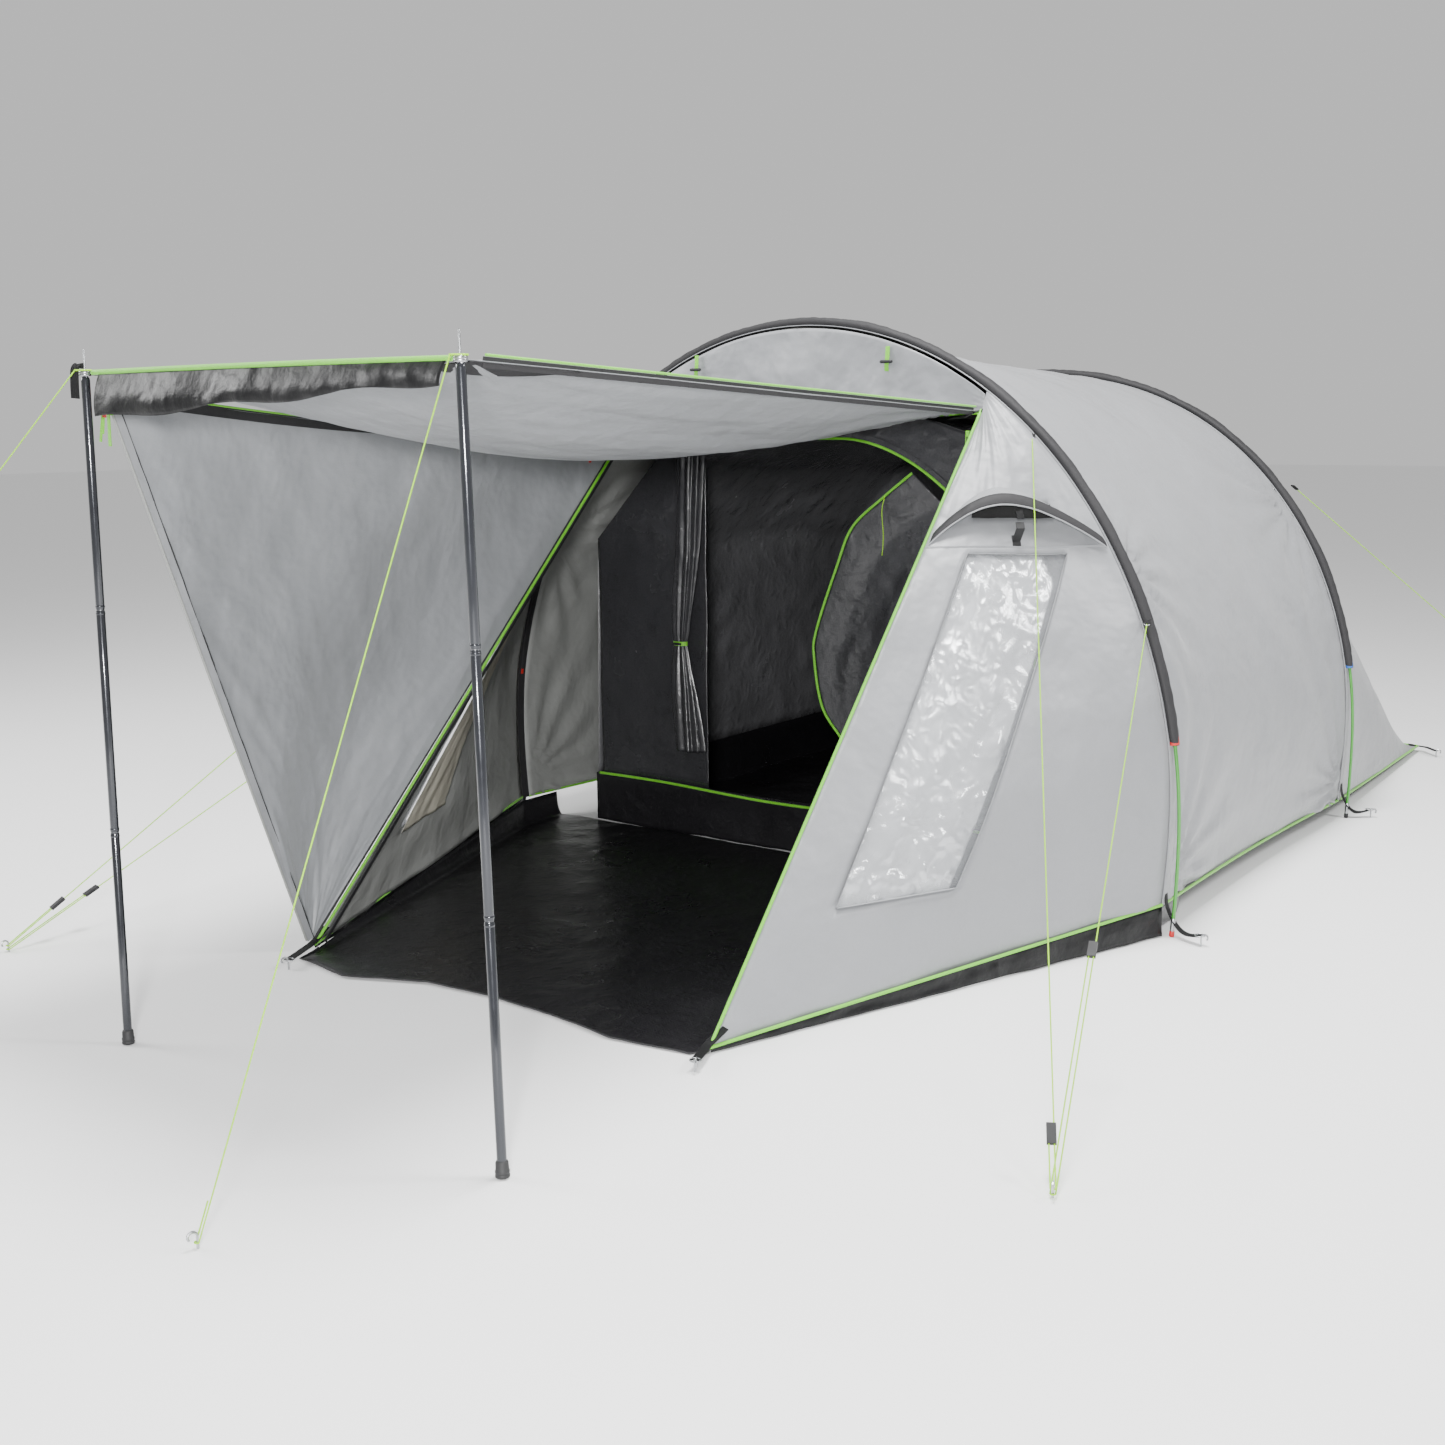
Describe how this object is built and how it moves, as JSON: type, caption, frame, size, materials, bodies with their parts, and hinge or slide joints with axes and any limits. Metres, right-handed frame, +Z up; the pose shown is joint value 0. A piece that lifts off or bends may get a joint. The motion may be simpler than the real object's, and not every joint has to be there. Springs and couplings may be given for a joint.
{
  "type": "tunnel tent",
  "caption": "Two-hoop tunnel tent with a porch, a door canopy propped on poles, a side windbreak, guy lines with pegs and a dark inner tent with its door open.",
  "frame": {"origin": "on the ground, at the centre of the pegged-out footprint, on the tent's centre line and in the plane of the front hoop", "axes": "+Z up, +Y from the entrance to the rear, +X to the right-hand side seen from the entrance"},
  "size_m": [3.6836, 5.9214, 1.653],
  "materials": {
    "fly": "matt coated polyester",
    "fly_inside": "matt polyester underside",
    "charcoal": "matt",
    "black_coated": "satin coating",
    "clear": "clear",
    "silver": "satin",
    "fibreglass": "satin",
    "pole": "gloss",
    "groundsheet": "satin coating",
    "inner": "satin",
    "black_plastic": "matt",
    "cord": "braided",
    "lime": "woven tape",
    "steel": "galvanised"
  },
  "bodies": {
    "tent": {"canopy": "fly_inside", "canopy_skirt": "black_coated", "curtain_left": "silver", "curtain_right": "silver", "door_curtain": "inner", "door_flap": "inner", "fly_rear": "fly", "fly_tunnel": "fly", "front_hoop_pole": "fibreglass", "front_hoop_sleeve": "charcoal", "groundsheet": "groundsheet", "guy_front_left_high": "cord", "guy_front_left_low": "cord", "guy_front_right_high": "cord", "guy_front_right_low": "cord", "guy_pole_left": "cord", "guy_pole_right": "cord", "guy_rear_left": "cord", "guy_rear_right": "cord", "inner_body": "inner", "inner_floor": "groundsheet", "inner_front_wall": "inner", "peg_corner_left": "steel", "peg_corner_right": "steel", "peg_guy_left": "steel", "peg_guy_pole_left": "steel", "peg_guy_pole_right": "steel", "peg_guy_rear_left": "steel", "peg_guy_rear_right": "steel", "peg_guy_right": "steel", "peg_hoop_front_left": "steel", "peg_hoop_front_right": "steel", "peg_hoop_rear_left": "steel", "peg_hoop_rear_right": "steel", "peg_rear_left": "steel", "peg_rear_right": "steel", "porch_gable": "fly", "porch_wall_left": "fly", "porch_wall_right": "fly", "rear_hoop_pole": "fibreglass", "rear_hoop_sleeve": "charcoal", "vent_hood_left": "charcoal", "vent_hood_right": "charcoal", "windbreak": "fly", "window_left": "clear", "window_right": "clear"},
    "right_awning_pole": {"awning_pole_right_bottom": "pole", "awning_pole_right_middle": "pole", "awning_pole_right_top": "pole"},
    "right_low_runner": {"runner_front_right_low": "black_plastic"},
    "right_high_runner": {"runner_front_right_high": "black_plastic"},
    "right_zip_slider": {"zip_slider_right": "lime"},
    "right_vent_prop": {"vent_strut_right": "black_plastic"},
    "left_awning_pole": {"awning_pole_left_bottom": "pole", "awning_pole_left_middle": "pole", "awning_pole_left_top": "pole"},
    "left_low_runner": {"runner_front_left_low": "black_plastic"},
    "left_high_runner": {"runner_front_left_high": "black_plastic"},
    "left_zip_slider": {"zip_slider_left": "lime"},
    "left_vent_prop": {"vent_strut_left": "black_plastic"}
  },
  "joints": [
    {"name": "right_awning_pole_swing", "type": "hinge", "parent": "tent", "child": "right_awning_pole", "pos_m": [0.6, -2.01, 1.4645], "axis": [-1, 0, 0], "range_deg": [0, 15]},
    {"name": "left_awning_pole_swing", "type": "hinge", "parent": "tent", "child": "left_awning_pole", "pos_m": [-0.54, -1.99, 1.4645], "axis": [-1, 0, 0], "range_deg": [0, 15]},
    {"name": "right_low_runner_slide", "type": "slide", "parent": "tent", "child": "right_low_runner", "axis": [-0.2637, 0.8493, 0.4573], "range_m": [-0.05, 0.25]},
    {"name": "right_high_runner_slide", "type": "slide", "parent": "tent", "child": "right_high_runner", "axis": [-0.3752, 0.7084, 0.5978], "range_m": [-0.02, 0.25]},
    {"name": "left_low_runner_slide", "type": "slide", "parent": "tent", "child": "left_low_runner", "axis": [0.1121, 0.9036, 0.4135], "range_m": [-0.05, 0.25]},
    {"name": "left_high_runner_slide", "type": "slide", "parent": "tent", "child": "left_high_runner", "axis": [0.2442, 0.7884, 0.5646], "range_m": [-0.03, 0.25]},
    {"name": "right_zip_slide", "type": "slide", "parent": "tent", "child": "right_zip_slider", "axis": [0.0267, -0.6966, -0.717], "range_m": [0, 1.65]},
    {"name": "left_zip_slide", "type": "slide", "parent": "tent", "child": "left_zip_slider", "axis": [-0.0662, 0.3621, -0.9298], "range_m": [0, 1.25]},
    {"name": "right_vent_prop_swing", "type": "hinge", "parent": "tent", "child": "right_vent_prop", "pos_m": [0.80658, -0.22258, 1.10081], "axis": [-0.7181, -0.6954, 0.0274], "range_deg": [0, 95]},
    {"name": "left_vent_prop_swing", "type": "hinge", "parent": "tent", "child": "left_vent_prop", "pos_m": [-0.80658, -0.22258, 1.10081], "axis": [-0.7181, 0.6954, -0.0274], "range_deg": [0, 95]}
  ]
}
